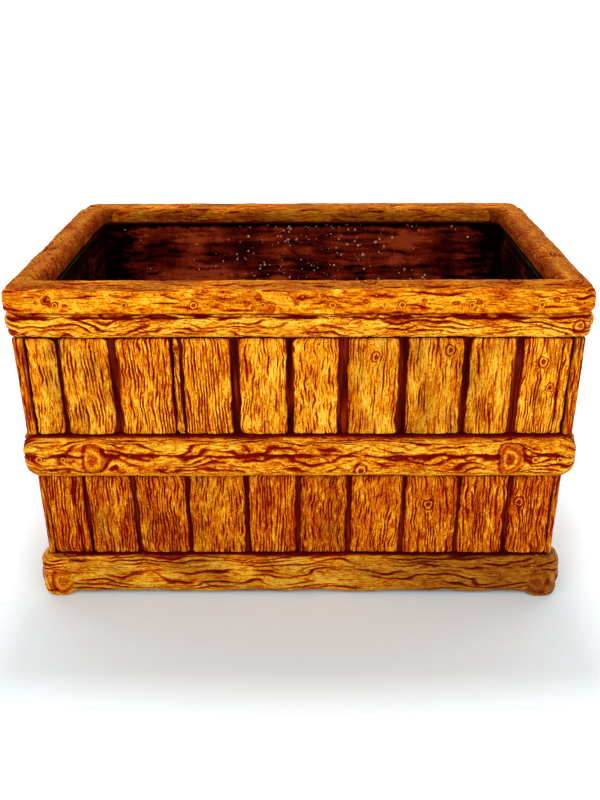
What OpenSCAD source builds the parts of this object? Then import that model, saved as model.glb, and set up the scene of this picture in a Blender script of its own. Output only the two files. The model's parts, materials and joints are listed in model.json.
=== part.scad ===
// Rustic planter box: a cast trough dressed to look like boards, rails and a log rim.
// X runs left to right, Y front to back, Z up. The origin is on the ground, under the centre.
// Every face of the body leans inwards, on all four sides, from the rim down to the feet.

/* [Overall] */
// Length over the rim, left to right
overall_length = 560; // [420:5:760]
// Width over the rim, front to back
overall_width = 396; // [300:4:540]
// Height from the ground to the top of the rim
overall_height = 338; // [260:2:440]
// How far each face of the body leans in, for every 100 of height
lean = 2; // [0:0.5:5]

/* [Rim] */
// Width of a rim log, from its outer to its inner edge
rim_width = 36; // [30:1:44]
// Height of a rim log
rim_height = 19; // [18:1:28]
// Rounding of a rim log's long edges
rim_edge_radius = 8; // [4:0.5:9]
// Rounding of the rim's outer corners, seen from above
rim_corner_radius = 18; // [10:1:24]
// How far the rim stands out past the rails
rim_overhang = 5; // [2:0.5:8]

/* [Rails] */
// Height of the upper rail, under the rim
upper_rail_height = 25; // [16:1:34]
// Height of the middle rail
mid_rail_height = 44; // [28:1:52]
// Height of the base rail
base_rail_height = 44; // [28:1:52]
// Thickness of the upper and base rails
rail_thickness = 12; // [10:0.5:16]
// How far the middle rail stands out past the other rails
mid_rail_proud = 1; // [0:0.5:3]
// Rounding of a rail's long edges
rail_edge_radius = 5; // [2:0.5:8]

/* [Boards] */
// Thickness of the upper boards and corner posts
upper_board_thickness = 9; // [6:0.5:12]
// Thickness of the lower boards and corner posts
lower_board_thickness = 6; // [4:0.5:9]
// Height of the lower boards
lower_board_height = 93; // [60:1:110]
// Seam above and below a row of boards
board_seam = 2; // [1:0.5:3]
// Width that the boards of the back and sides come nearest to
plain_board_width = 46; // [30:1:70]
// Gap between neighbouring boards on the back and sides
board_gap = 6; // [3:0.5:9]

/* [Trough] */
// Thickness of the trough's four walls
wall_thickness = 14; // [10:0.5:20]
// Thickness of the trough's floor
floor_thickness = 25; // [16:1:36]
// Radius of the drain hole
drain_radius = 12; // [8:0.5:18]

/* [Feet] */
// Length of a foot along each face
foot_length = 38; // [30:1:48]
// How far the feet reach below the base rail
foot_drop = 4; // [2:0.5:10]
// How far the feet stand out past the base rail
foot_proud = 3; // [1:0.5:4]
// Rounding of a foot's outer corner
foot_corner_radius = 14; // [8:1:16]

/* [Nails] */
// Radius of a nail head
nail_radius = 4; // [2.5:0.5:5]
// Height of a nail head above its face
nail_proud = 0.8; // [0.4:0.1:1.5]
// Depth of a nail's seat below its face
nail_seat = 4; // [2:0.5:6]
// Distance from the rim's end to its first nail
rim_nail_margin = 56; // [40:1:80]
// Greatest spacing of the nails along the rim
rim_nail_spacing = 66; // [50:1:90]
// Distance from the middle rail's end to its first nail
rail_nail_margin = 14; // [10:1:20]
// Distance from a middle rail's first nail to its second
rail_nail_pitch = 24; // [14:1:40]

/* [Hidden] */
$fn = 48;

// Levels, from the top down
z_top = overall_height;
z_rim = z_top - rim_height;
z_upper_rail = z_rim - upper_rail_height;
z_base_rail = foot_drop;
z_base_top = z_base_rail + base_rail_height;
z_lower_boards = z_base_top + board_seam;
z_lower_top = z_lower_boards + lower_board_height;
z_mid_rail = z_lower_top + board_seam;
z_mid_top = z_mid_rail + mid_rail_height;
z_upper_boards = z_mid_top + board_seam;
z_upper_top = z_upper_rail - board_seam;
z_floor_top = foot_drop + floor_thickness;

// Half length and half width over the rails' outer faces, at height z
slope = lean / 100;
function half_x(z) = overall_length / 2 - rim_overhang - (z_rim - z) * slope;
function half_y(z) = overall_width / 2 - rim_overhang - (z_rim - z) * slope;

// The trough's outer and inner faces, as distances in from the rails' outer faces
core_in = rail_thickness;
cavity_in = rail_thickness + wall_thickness;
upper_in = rail_thickness - upper_board_thickness;
lower_in = rail_thickness - lower_board_thickness;

// A length past every part, and the bevel on the rails' and posts' upright corners
reach = 2 * (overall_length + overall_width + overall_height);
corner_bevel = 6;
post_bevel = 4;

// Where the feet's outer faces stand
foot_x = half_x(z_base_top) + foot_proud;
foot_y = half_y(z_base_top) + foot_proud;

// Boards of the front, from the left: relative width, then the gap that follows
front_upper_boards = [
    [29, 3], [47, 6], [52, 10], [47, 7], [46, 5],
    [45, 8], [49, 7], [54, 5], [43, 7], [46, 0]
];
front_lower_boards = [
    [36, 5], [45, 6], [50, 5], [55, 7], [46, 6],
    [47, 6], [50, 6], [52, 5], [46, 6], [40, 0]
];
BOARDS = len(front_upper_boards);

SIDES = ["front", "back", "left", "right"];
CORNERS = ["front_left", "front_right", "back_left", "back_right"];

clay = [0.74, 0.46, 0.10];
gold = [0.86, 0.60, 0.12];
umber = [0.62, 0.36, 0.12];
maroon = [0.26, 0.07, 0.05];
iron = [0.55, 0.30, 0.12];

// ---- Shared shapes ----

// An outline drawn in X and Z, carried along Y
module along_y(length = reach) {
    rotate([90, 0, 0]) linear_extrude(length, center = true) children();
}

// An outline drawn in Y and Z, carried along X
module along_x(length = reach) {
    rotate([90, 0, 90]) linear_extrude(length, center = true) children();
}

// A band that leans with the faces, from half width a at z0 to half width b at z1
module lean_outline(z0, z1, a, b) {
    polygon([[-a, z0], [a, z0], [b, z1], [-b, z1]]);
}

// The space between the two end faces, a distance in from the rails
module between_ends(z0, z1, inset) {
    along_y() lean_outline(z0, z1, half_x(z0) - inset, half_x(z1) - inset);
}

// The space between the front and back faces, a distance in from the rails
module between_fronts(z0, z1, inset) {
    along_x() lean_outline(z0, z1, half_y(z0) - inset, half_y(z1) - inset);
}

module body_block(z0, z1, inset) {
    intersection() {
        between_ends(z0, z1, inset);
        between_fronts(z0, z1, inset);
    }
}

// The space inside four upright bevels, across the body's corners
module inside_bevels(z0, z1, inset, bevel) {
    a = (half_x(z0) + half_y(z0) - 2 * inset - bevel) / sqrt(2);
    b = (half_x(z1) + half_y(z1) - 2 * inset - bevel) / sqrt(2);
    rotate([0, 0, 45]) intersection() {
        along_x() lean_outline(z0, z1, a, b);
        along_y() lean_outline(z0, z1, a, b);
    }
}

function is_end(side) = side == "left" || side == "right";
function turn_of(side) = side == "front" ? 0 : side == "right" ? 90 : side == "back" ? 180 : 270;

// Half the run of a face, and how far that face stands from the centre
function half_run(side, z) = is_end(side) ? half_y(z) : half_x(z);
function half_reach(side, z) = is_end(side) ? half_x(z) : half_y(z);

// Turns children that are drawn for the front to the given side
module on_side(side) {
    rotate([0, 0, turn_of(side)]) children();
}

// A leaning slab behind one face, between two distances in from the rails
module face_slab(side, z0, z1, inset_out, inset_back) {
    low = half_reach(side, z0);
    high = half_reach(side, z1);
    on_side(side) along_x() polygon([
        [inset_out - low, z0],
        [inset_out - high, z1],
        [inset_back - high, z1],
        [inset_back - low, z0]
    ]);
}

// ---- Trough ----

module floor_slab() {
    color(maroon) difference() {
        body_block(z_base_rail, z_floor_top, cavity_in);
        cylinder(h = z_floor_top + 1, r = drain_radius);
    }
}

// The front and back walls run the full length, and the end walls stand between them
module wall(side) {
    color(maroon) intersection() {
        face_slab(side, z_base_rail, z_rim, core_in, cavity_in);
        if (is_end(side)) between_fronts(z_base_rail, z_rim, cavity_in);
        else between_ends(z_base_rail, z_rim, core_in);
    }
}

// ---- Rim logs ----

// A log's cross-section: a bar with all four long edges rounded
module log_section() {
    far_x = rim_width - rim_edge_radius;
    far_z = rim_height - rim_edge_radius;
    translate([rim_edge_radius, 0]) square([far_x - rim_edge_radius, rim_height]);
    translate([0, rim_edge_radius]) square([rim_width, far_z - rim_edge_radius]);
    for (x = [rim_edge_radius, far_x], z = [rim_edge_radius, far_z])
        translate([x, z]) circle(rim_edge_radius);
}

// The rim's outline from above
module rim_plan() {
    x = overall_length / 2 - rim_corner_radius;
    y = overall_width / 2 - rim_corner_radius;
    linear_extrude(z_top + 1) {
        square([2 * x, overall_width], center = true);
        square([overall_length, 2 * y], center = true);
        for (sx = [-1, 1], sy = [-1, 1]) translate([sx * x, sy * y]) circle(rim_corner_radius);
    }
}

// The front and back logs run to the corners, and the end logs butt between them
module rim_log(side) {
    run = is_end(side) ? overall_width - 2 * rim_width : overall_length;
    color(is_end(side) ? umber : gold) difference() {
        intersection() {
            on_side(side) translate([0, -rim_reach(side), z_rim]) along_x(run) log_section();
            rim_plan();
        }
        rim_nails(side, rim_edge_radius);
    }
}

// ---- Rails ----

// A rail's cross-section: flat at the back, its two outer long edges rounded
module rail_section(thickness, height) {
    radius = rail_edge_radius;
    translate([radius, 0]) square([thickness - radius, height]);
    translate([0, radius]) square([thickness, height - 2 * radius]);
    for (z = [radius, height - radius]) translate([radius, z]) circle(radius);
}

// A long rail that leans with the face behind it
module rail_bar(side, z0, z1, thickness) {
    back = half_reach(side, z0) - core_in;
    slope_height = (z1 - z0) * sqrt(1 + slope * slope);
    intersection() {
        on_side(side) translate([0, -back, z0]) rotate([atan(slope), 0, 0])
            translate([0, -thickness, 0]) along_x() rail_section(thickness, slope_height);
        translate([-reach / 2, -reach / 2, z0]) cube([reach, reach, z1 - z0]);
    }
}

// Front and back rails run the full length with eased ends, and end rails butt between them
module rail(side, z0, z1, proud) {
    color(gold) intersection() {
        rail_bar(side, z0, z1, rail_thickness + proud);
        if (is_end(side)) {
            between_fronts(z0, z1, core_in);
        } else {
            intersection() {
                between_ends(z0, z1, -proud);
                inside_bevels(z0, z1, -proud, corner_bevel);
            }
        }
    }
}

module upper_rail(side) {
    rail(side, z_upper_rail, z_rim, 0);
}

module mid_rail(side) {
    difference() {
        rail(side, z_mid_rail, z_mid_top, mid_rail_proud);
        rail_nails(side, rail_edge_radius);
    }
}

// A base rail runs from foot to foot
module base_rail(side) {
    run = 2 * ((is_end(side) ? foot_y : foot_x) - foot_length);
    color(gold) intersection() {
        rail_bar(side, z_base_rail, z_base_top, rail_thickness);
        on_side(side) translate([-run / 2, -reach / 2, 0]) cube([run, reach, z_base_top]);
    }
}

// ---- Feet ----

// A block under each corner, wrapped round the trough
module foot(corner) {
    sx = corner == "front_left" || corner == "back_left" ? -1 : 1;
    sy = corner == "front_left" || corner == "front_right" ? -1 : 1;
    flat = foot_length - foot_corner_radius;
    color(gold) difference() {
        scale([sx, sy, 1]) translate([foot_x - foot_length, foot_y - foot_length, 0])
            linear_extrude(z_base_top) {
                square([flat, foot_length]);
                square([foot_length, flat]);
                translate([flat, flat]) circle(foot_corner_radius);
            }
        body_block(z_base_rail, z_base_top + 1, core_in);
    }
}

// ---- Boards and posts ----

// A post at each corner, in the angle between two rows of boards
module corner_posts(z0, z1, inset) {
    color(gold) difference() {
        intersection() {
            body_block(z0, z1, inset);
            inside_bevels(z0, z1, inset, post_bevel);
        }
        between_ends(z0, z1, core_in);
        between_fronts(z0, z1, core_in);
    }
}

module corner_posts_upper() {
    corner_posts(z_upper_boards, z_upper_top, upper_in);
}

module corner_posts_lower() {
    corner_posts(z_lower_boards, z_lower_top, lower_in);
}

// Sum of one column of a row's list, over the boards before the given one
function before(row, column, i) = i == 0 ? 0 : row[i - 1][column] + before(row, column, i - 1);

// Where the left edge of a row's board lies at height z: widths share what the gaps leave
function board_edge(side, row, i, z) =
    let (half = half_run(side, z) - core_in - board_seam)
    let (share = (2 * half - before(row, 1, len(row))) / before(row, 0, len(row)))
    before(row, 0, i) * share + before(row, 1, i) - half;

// One board of a row, its edges leaning with the body's corners
module board(side, row, i, z0, z1, inset) {
    last_gap = row[i][1];
    color(gold) intersection() {
        face_slab(side, z0, z1, inset, core_in);
        on_side(side) along_y() polygon([
            [board_edge(side, row, i, z0), z0],
            [board_edge(side, row, i + 1, z0) - last_gap, z0],
            [board_edge(side, row, i + 1, z1) - last_gap, z1],
            [board_edge(side, row, i, z1), z1]
        ]);
    }
}

module upper_board(side, row, i) {
    board(side, row, i, z_upper_boards, z_upper_top, upper_in);
}

module lower_board(side, row, i) {
    board(side, row, i, z_lower_boards, z_lower_top, lower_in);
}

// Equal boards for the back and sides, as many as come nearest to their width
function plain_row(side) =
    let (count = round(2 * half_run(side, z_mid_top) / (plain_board_width + board_gap)))
    [for (i = [1:count]) [1, i < count ? board_gap : 0]];

module upper_boards(side) {
    row = plain_row(side);
    for (i = [0:len(row) - 1]) upper_board(side, row, i);
}

module lower_boards(side) {
    row = plain_row(side);
    for (i = [0:len(row) - 1]) lower_board(side, row, i);
}

// ---- Nails ----

function rim_reach(side) = (is_end(side) ? overall_length : overall_width) / 2;

// A nail's head and the seat behind it, pointing out of the front face at the origin
module nail(proud) {
    translate([0, nail_seat, 0]) rotate([90, 0, 0]) cylinder(h = nail_seat + proud, r = nail_radius);
}

// Nails along the middle of a rim log's outer edge
module rim_nails(side, proud) {
    half = (is_end(side) ? overall_width : overall_length) / 2 - rim_nail_margin;
    steps = ceil(2 * half / rim_nail_spacing);
    on_side(side) for (i = [0:steps])
        translate([half * (2 * i / steps - 1), -rim_reach(side), z_rim + rim_height / 2]) nail(proud);
}

// Two nails at each end of a middle rail
module rail_nails(side, proud) {
    z = (z_mid_rail + z_mid_top) / 2;
    face = half_reach(side, z) + mid_rail_proud;
    first = half_run(side, z) - rail_nail_margin - (is_end(side) ? core_in : 0);
    on_side(side) for (end = [-1, 1], i = [0, 1])
        translate([end * (first - i * rail_nail_pitch), -face, z]) nail(proud);
}

module nail_heads() {
    color(iron) for (side = SIDES) {
        rim_nails(side, nail_proud);
        rail_nails(side, nail_proud);
    }
}

// ---- Drawing, one node at a time or all together ----

floor_slab();
for (s = SIDES) {
    wall(s);
    rim_log(s);
    upper_rail(s);
    mid_rail(s);
    base_rail(s);
}
for (c = CORNERS) {
    foot(c);
}
corner_posts_upper();
corner_posts_lower();
for (i = [0:BOARDS - 1]) {
    n = i + 1;
    upper_board("front", front_upper_boards, i);
    lower_board("front", front_lower_boards, i);
}
for (s = ["back", "left", "right"]) {
    upper_boards(s);
    lower_boards(s);
}
nail_heads();
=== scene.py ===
"""A planter box in painted cement, moulded as split logs, boards and nails round a trough.

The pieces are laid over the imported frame: four walls, four rim logs, three tiers of rails, two rows of
boards between them, four feet, the nails and the grit left in the trough.
"""

import json
import logging
import math
from collections.abc import Callable
from dataclasses import dataclass, field, replace
from enum import Enum

import bpy
import numpy as np
from mathutils import Matrix, Vector

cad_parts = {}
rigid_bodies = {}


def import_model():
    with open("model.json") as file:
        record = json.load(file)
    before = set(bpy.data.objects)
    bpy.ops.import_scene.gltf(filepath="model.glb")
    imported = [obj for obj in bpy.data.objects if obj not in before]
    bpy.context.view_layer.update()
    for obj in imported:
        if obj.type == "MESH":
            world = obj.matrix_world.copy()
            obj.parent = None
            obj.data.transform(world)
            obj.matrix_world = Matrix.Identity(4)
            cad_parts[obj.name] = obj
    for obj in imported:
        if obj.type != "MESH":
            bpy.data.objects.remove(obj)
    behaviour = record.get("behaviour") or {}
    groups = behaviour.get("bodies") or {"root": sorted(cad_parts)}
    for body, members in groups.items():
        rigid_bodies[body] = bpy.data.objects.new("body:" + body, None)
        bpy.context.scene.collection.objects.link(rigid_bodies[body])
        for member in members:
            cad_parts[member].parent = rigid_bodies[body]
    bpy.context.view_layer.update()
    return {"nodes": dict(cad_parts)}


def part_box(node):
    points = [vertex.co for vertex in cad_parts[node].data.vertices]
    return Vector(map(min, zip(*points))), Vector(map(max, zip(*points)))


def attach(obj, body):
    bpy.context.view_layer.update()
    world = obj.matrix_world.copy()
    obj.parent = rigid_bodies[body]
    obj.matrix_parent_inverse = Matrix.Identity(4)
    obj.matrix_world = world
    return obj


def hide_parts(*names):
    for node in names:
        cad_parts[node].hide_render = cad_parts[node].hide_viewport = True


for leftover in list(bpy.data.objects):
    bpy.data.objects.remove(leftover)
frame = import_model()

LOG = logging.getLogger("planter")
MM = 0.001
Colour = tuple[float, float, float, float]
Pair = tuple[np.ndarray, np.ndarray]
Place = Callable[[np.ndarray, np.ndarray, np.ndarray], np.ndarray]


def srgb(red: int, green: int, blue: int) -> Colour:
    """Turn a paint chart's 0 to 255 colour into the shader's linear colour.

    Args:
        red: Red, 0 to 255.
        green: Green, 0 to 255.
        blue: Blue, 0 to 255.

    Returns:
        Linear red, green, blue and an alpha of one.
    """
    parts = [c / 255 for c in (red, green, blue)]
    lin = [c / 12.92 if c <= 0.04045 else ((c + 0.055) / 1.055) ** 2.4 for c in parts]
    return (lin[0], lin[1], lin[2], 1.0)


def ease(low: float | np.ndarray, high: float | np.ndarray, x: np.ndarray) -> np.ndarray:
    """Rise smoothly from 0 to 1.

    Args:
        low: Where the rise starts.
        high: Where it ends.
        x: Values to look up.

    Returns:
        The risen share at each value.
    """
    t = np.clip((x - low) / (high - low), 0, 1)
    return t * t * (3 - 2 * t)


def round_off(distance: np.ndarray, radius: float) -> np.ndarray:
    """How far a rounded end has drawn in.

    Args:
        distance: Distance from the end.
        radius: The rounding's radius.

    Returns:
        The inset at each distance, zero past the radius.
    """
    left = np.clip(radius - distance, 0, radius)
    return radius - np.sqrt(radius * radius - left * left)


class Noise:
    """Seeded gradient noise over a plane, about -0.7 to 0.7."""

    SIZE = 256

    def __init__(self, seed: int) -> None:
        """Draw the lattice of slopes for one seed.

        Args:
            seed: The noise's seed.
        """
        turn = np.random.default_rng(seed).uniform(0, 2 * np.pi, (self.SIZE, self.SIZE))
        self.slope_x = np.cos(turn)
        self.slope_y = np.sin(turn)

    def at(self, x: np.ndarray, y: np.ndarray) -> np.ndarray:
        """Sample one layer.

        Args:
            x: Places along the plane.
            y: Places across it.

        Returns:
            The noise at each place.
        """
        x, y = np.broadcast_arrays(x, y)
        xi, yi = np.floor(x).astype(int), np.floor(y).astype(int)
        fx, fy = x - xi, y - yi
        u = fx**3 * (fx * (fx * 6 - 15) + 10)
        v = fy**3 * (fy * (fy * 6 - 15) + 10)

        def corner(i: int, j: int) -> np.ndarray:
            """Slope of one lattice corner times the way to it."""
            at = ((xi + i) % self.SIZE, (yi + j) % self.SIZE)
            return self.slope_x[at] * (fx - i) + self.slope_y[at] * (fy - j)

        near = corner(0, 0) * (1 - u) + corner(1, 0) * u
        far = corner(0, 1) * (1 - u) + corner(1, 1) * u
        return near * (1 - v) + far * v

    def layered(self, x: np.ndarray, y: np.ndarray, layers: int = 3) -> np.ndarray:
        """Sum layers of noise, each twice as fine and half as strong.

        Args:
            x: Places along the plane.
            y: Places across it.
            layers: How many layers.

        Returns:
            The summed noise at each place.
        """
        total = 0.0
        for k in range(layers):
            total = total + self.at(x * 2**k + 17.3 * k, y * 2**k - 9.1 * k) / 2**k
        return total


@dataclass(frozen=True)
class Knot:
    """A knot in the wood: the grain flows round it, and rings mark its face."""

    along: float
    across: float
    radius: float = 9.0
    rise: float = 1.2
    rings: float = 2.5
    hole: float = 0.16
    mark: float = 1.0

    def moved(self, distance: float) -> "Knot":
        """The same knot further along."""
        return replace(self, along=self.along + distance)

    def part(self, s: np.ndarray, t: np.ndarray) -> np.ndarray:
        """Bend the grain lines round the knot.

        Args:
            s: Places along the grain.
            t: Places across it.

        Returns:
            The across places that the grain follows.
        """
        away = t - self.across
        push = self.radius**2 * np.exp(-(((s - self.along) / (1.45 * self.radius)) ** 2))
        return self.across + np.sign(away) * np.sqrt(np.maximum(away**2 - push, (0.3 * away) ** 2))

    def blend(self, s: np.ndarray, t: np.ndarray, height: np.ndarray, tone: np.ndarray) -> Pair:
        """Lay the knot's own rings over the grain.

        Args:
            s: Places along the grain.
            t: Places across it.
            height: Relief so far.
            tone: Tone so far.

        Returns:
            The new relief and tone.
        """
        sway = Noise(int(7 * self.radius + abs(self.along)))
        turn = np.arctan2(t - self.across, s - self.along)
        uneven = 1 + 0.16 * np.cos(turn + self.along) + 0.10 * np.cos(3 * turn + self.along)
        d = np.hypot((s - self.along) * 0.9, t - self.across) / (self.radius * uneven)
        d = d + 0.13 * sway.layered(s / 3.1, t / 3.1, 3)
        inside = 1 - ease(0.86, 1.08, d)
        ring = np.cos(2 * np.pi * self.rings * d)
        dot = np.exp(-((d / self.hole) ** 2))
        dome = self.rise * np.sqrt(np.clip(1 - (d / 1.1) ** 2, 0, 1)) + 0.28 * ring - 1.2 * dot
        moat = np.exp(-(((d - 1.1) / 0.13) ** 2))
        grainy = sway.layered(s / 1.3 + 9, t / 1.3, 2)
        height = height * (1 - inside) + dome * inside - 0.8 * moat
        tone = tone * (1 - inside) + (0.64 + self.mark * (0.26 * ring - 0.7 * dot) + 0.3 * grainy) * inside
        tone = tone - 0.55 * self.mark * moat
        return height, tone


@dataclass(frozen=True)
class Grain:
    """Carved wood grain: wavering grooves that fade in and out, fibres, pits and knots."""

    seed: int
    pitch: float = 3.6
    length: float = 34.0
    wander: float = 1.5
    depth: float = 1.1
    crown: float = 0.25
    fibre: float = 0.22
    pits: float = 0.45
    slant: float = 0.0
    fullness: float = 0.05
    knots: tuple[Knot, ...] = ()
    splits: tuple[float, ...] = ()
    bold: float = 1.0

    def grooves(self, noise: Noise, s: np.ndarray, t: np.ndarray, pitch: float, length: float) -> Pair:
        """Lay one set of tapering grooves side by side.

        Args:
            noise: Noise that sways and breaks them.
            s: Places along the grain.
            t: Places across it.
            pitch: Spacing of the grooves.
            length: Rough length of one.

        Returns:
            How deep each place lies in a groove, 0 to 1, and how far it is from a groove's middle.
        """
        sway = noise.layered(s / (1.7 * length), t / (5 * pitch), 3)
        phase = (t + self.slant * s) / pitch + self.wander * sway
        lane = np.floor(phase + 0.5)
        off = phase - lane
        presence = noise.at(s / length + 0.37 * lane, 7.31 * lane + 0.5)
        strength = ease(-0.2 - self.fullness, 0.3 - self.fullness, presence)
        half = self.bold * (0.09 + 0.13 * strength)
        return strength * np.exp(-(np.abs(off / half) ** 3)), off

    def carve(self, s: np.ndarray, t: np.ndarray) -> Pair:
        """Work out the height and tone of a patch.

        Args:
            s: Places along the grain, in millimetres.
            t: Places across it, in millimetres.

        Returns:
            Height in millimetres and tone from 0, deep, to 1, high.
        """
        first, second, third = (Noise(self.seed * 7 + k) for k in range(3))
        line = t
        for knot in self.knots:
            line = knot.part(s, line)
        deep, off = self.grooves(first, s, line, self.pitch, self.length)
        fine, _ = self.grooves(second, s, line + 40, self.pitch * 0.43, self.length * 0.5)
        fibre = third.layered(s / 8, line / 1.1, 3)
        broad = third.layered(s / 45 + 5, t / 14, 2)
        pit = ease(0.34, 0.52, second.at(s / 2.3, t / 2.1 + 30))
        height = self.crown * (1 - 4 * off**2) * (1 - deep) - self.depth * deep
        height = height - 0.3 * min(self.depth, 1.2) * fine + self.fibre * fibre
        height = height - self.pits * pit + 0.7 * broad
        tone = 0.86 - 0.78 * deep - 0.42 * fine + 0.34 * fibre - 0.44 * pit + 0.22 * broad
        for split in self.splits:
            broadness = 0.3 + 1.5 * ease(-0.25, 0.45, third.layered(s / 24, 0 * s + 8.8 + split, 2))
            cut = np.exp(-(((t - split - 1.7 * first.layered(s / 25, 0 * s + 3.3, 3)) / broadness) ** 2))
            height, tone = height - 2.6 * cut, tone - 0.95 * cut
        for knot in self.knots:
            height, tone = knot.blend(s, t, height, tone)
        return height, tone


@dataclass(frozen=True)
class Outline:
    """The rounded outline across a piece, as shares of its size, starting and ending on the hidden side."""

    depth: float
    width: float
    face_radius: float = 5.0
    hidden_radius: float = 1.0
    step: float = 0.7
    hidden_step: float = 4.0

    def points(self) -> dict[str, np.ndarray]:
        """Lay out the outline once.

        Returns:
            Arrays: share across (ca) and out (co), the normal's two parts (na, no), the corner radius (r)
            and the length walked from the middle of the face (t).
        """
        half, deep = self.width / 2, self.depth
        rows = []

        def edge(a: tuple, b: tuple, n: tuple, radii: tuple, length: float, step: float) -> None:
            """Add the points of one straight edge.

            Args:
                a: Share across and out where it starts.
                b: Share across and out where it ends.
                n: Its normal.
                radii: The radius at its start and end.
                length: Its length.
                step: Spacing of its points.
            """
            count = max(1, math.ceil(length / step))
            for k in range(count):
                w = k / count
                rows.append((a[0] + (b[0] - a[0]) * w, a[1] + (b[1] - a[1]) * w, *n,
                             radii[0] + (radii[1] - radii[0]) * w))

        def corner(at: tuple, radius: float, start: float, count: int) -> None:
            """Add the points of one rounded corner, a quarter turn clockwise.

            Args:
                at: Share across and out of the corner.
                radius: Its radius.
                start: Angle of its first normal, in degrees.
                count: How many points it has.
            """
            for k in range(count):
                angle = math.radians(start - 90 * k / count)
                rows.append((*at, math.cos(angle), math.sin(angle), radius))

        rf, rb = self.face_radius, self.hidden_radius
        flat, side = self.width - 2 * rf, deep - rf - rb
        back_corner = max(rb, 0.2)
        back_turns = max(2, math.ceil(rb * math.pi / 2 / (1.3 * self.step)))
        face_turns = max(4, math.ceil(rf * math.pi / 2 / self.step))
        edge((0, -1), (-1, -1), (0, -1), (rb, rb), half - rb, self.hidden_step)
        corner((-1, -1), back_corner, 270, back_turns)
        edge((-1, -1), (-1, 1), (-1, 0), (rb, rf), side, self.step * 1.2)
        corner((-1, 1), rf, 180, face_turns)
        edge((-1, 1), (1, 1), (0, 1), (rf, rf), flat, self.step)
        corner((1, 1), rf, 90, face_turns)
        edge((1, 1), (1, -1), (1, 0), (rf, rb), side, self.step * 1.2)
        corner((1, -1), back_corner, 0, back_turns)
        edge((1, -1), (0, -1), (0, -1), (rb, rb), half - rb, self.hidden_step)
        ca, co, na, no, r = np.array(rows, float).T
        across = (half - r) * ca + r * na
        out = deep / 2 + (deep / 2 - r) * co + r * no
        walk = np.concatenate([[0], np.cumsum(np.hypot(np.diff(across), np.diff(out)))])
        middle = np.interp(0, across[no > 0.99], walk[no > 0.99])
        return {"ca": ca, "co": co, "na": na, "no": no, "r": r, "t": walk - middle}


@dataclass
class Stations:
    """Places along a piece with its limits there: both sides, the face, and how far the rows close."""

    s: np.ndarray
    low: np.ndarray
    high: np.ndarray
    face: np.ndarray
    shrink: np.ndarray

    CAP = (0.12, 0.35, 0.6, 0.82, 0.95)

    @classmethod
    def along(cls, length: float, width: float, depth: float, step: float, tight: float = 5.0) -> "Stations":
        """Space the stations evenly, closer over the rounded ends.

        Args:
            length: The piece's length.
            width: Its width.
            depth: Its depth.
            step: Spacing of the rows.
            tight: Length of the closer part at each end.

        Returns:
            Stations with straight sides, for a piece to shape.
        """
        count = max(4, math.ceil(tight * 1.6 / step))
        lead = tight * (1 - np.cos(np.linspace(0, np.pi / 2, count)))
        middle = np.linspace(tight, length - tight, max(2, round((length - 2 * tight) / step)))
        body = np.concatenate([lead, middle[1:-1], length - lead[::-1]])
        n = len(cls.CAP)
        s = np.concatenate([np.zeros(n), body, np.full(n, length)])
        shrink = np.concatenate([cls.CAP, np.ones(len(body)), cls.CAP[::-1]])
        ones = np.ones(len(s))
        return cls(s, -width / 2 * ones, width / 2 * ones, depth * ones, shrink)

    @property
    def from_ends(self) -> Pair:
        """Distance of each station from the start and from the end."""
        return self.s, self.s[-1] - self.s


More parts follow.
